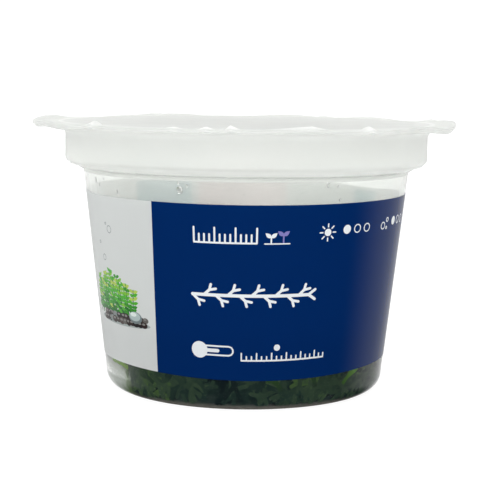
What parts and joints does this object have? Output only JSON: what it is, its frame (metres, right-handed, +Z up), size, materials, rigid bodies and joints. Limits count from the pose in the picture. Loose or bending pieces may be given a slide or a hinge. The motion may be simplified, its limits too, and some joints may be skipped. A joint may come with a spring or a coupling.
{
  "type": "plant tissue culture cup",
  "caption": "Clear sealed cup with a tapered wall, wide brim, peel-off film lid and wrap label, holding a gel layer and a green mat of forked crystalwort ribbons.",
  "frame": {"origin": "middle of the underside of the foot ring, where the cup stands", "axes": "+Z up through the lid, -Y towards the front, where the label's dark panel is widest, -X towards the peel tab"},
  "size_m": [0.1027, 0.1012, 0.0654],
  "materials": {
    "cup_plastic": "clear, slightly milky thermoformed polypropylene",
    "lid_film": "milky translucent sealing film, puckered at the edge",
    "label_print": "satin printed film with a dark blue panel and a pale panel",
    "gel": "wet clear agar",
    "plant_mat": "moist dark green plant tissue",
    "plant_fresh": "moist bright green plant tissue"
  },
  "bodies": {
    "root": {"cup": "cup_plastic", "lid_film": "lid_film", "label": "label_print", "nutrient_gel": "gel", "crystalwort_mat": "plant_mat", "loose_ribbon_1": "plant_fresh", "loose_ribbon_2": "plant_fresh", "loose_ribbon_3": "plant_fresh", "loose_ribbon_4": "plant_fresh", "loose_ribbon_5": "plant_fresh", "loose_ribbon_6": "plant_fresh"}
  },
  "joints": []
}
